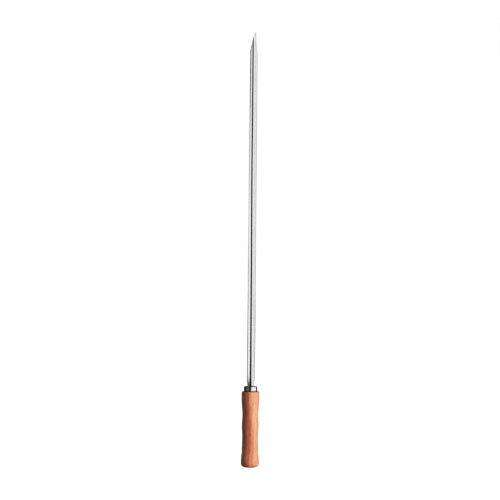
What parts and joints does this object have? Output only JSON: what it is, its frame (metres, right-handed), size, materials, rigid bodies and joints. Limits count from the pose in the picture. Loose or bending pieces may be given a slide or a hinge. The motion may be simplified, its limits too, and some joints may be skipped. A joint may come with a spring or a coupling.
{
  "type": "roasting skewer",
  "caption": "Long V-folded stainless roasting skewer with an oblique point, a drawn steel ferrule and a turned wooden grip with finger grooves.",
  "frame": {"origin": "centre of the handle's flat butt face, on the handle's axis", "axes": "+Z along the handle's axis towards the blade's point, -Y the way the blade's fold faces, +X towards the leg that carries the point"},
  "size_m": [0.0292, 0.0292, 0.7],
  "materials": {
    "blade_steel": "bright rolled stainless",
    "ferrule_steel": "polished",
    "handle_wood": "oiled, turned hardwood",
    "pin_steel": "plain drawn",
    "bedding_resin": "cured adhesive"
  },
  "bodies": {
    "root": {"blade": "blade_steel", "ferrule": "ferrule_steel", "handle": "handle_wood", "tang_pin": "pin_steel", "tang_bedding": "bedding_resin"}
  },
  "joints": []
}
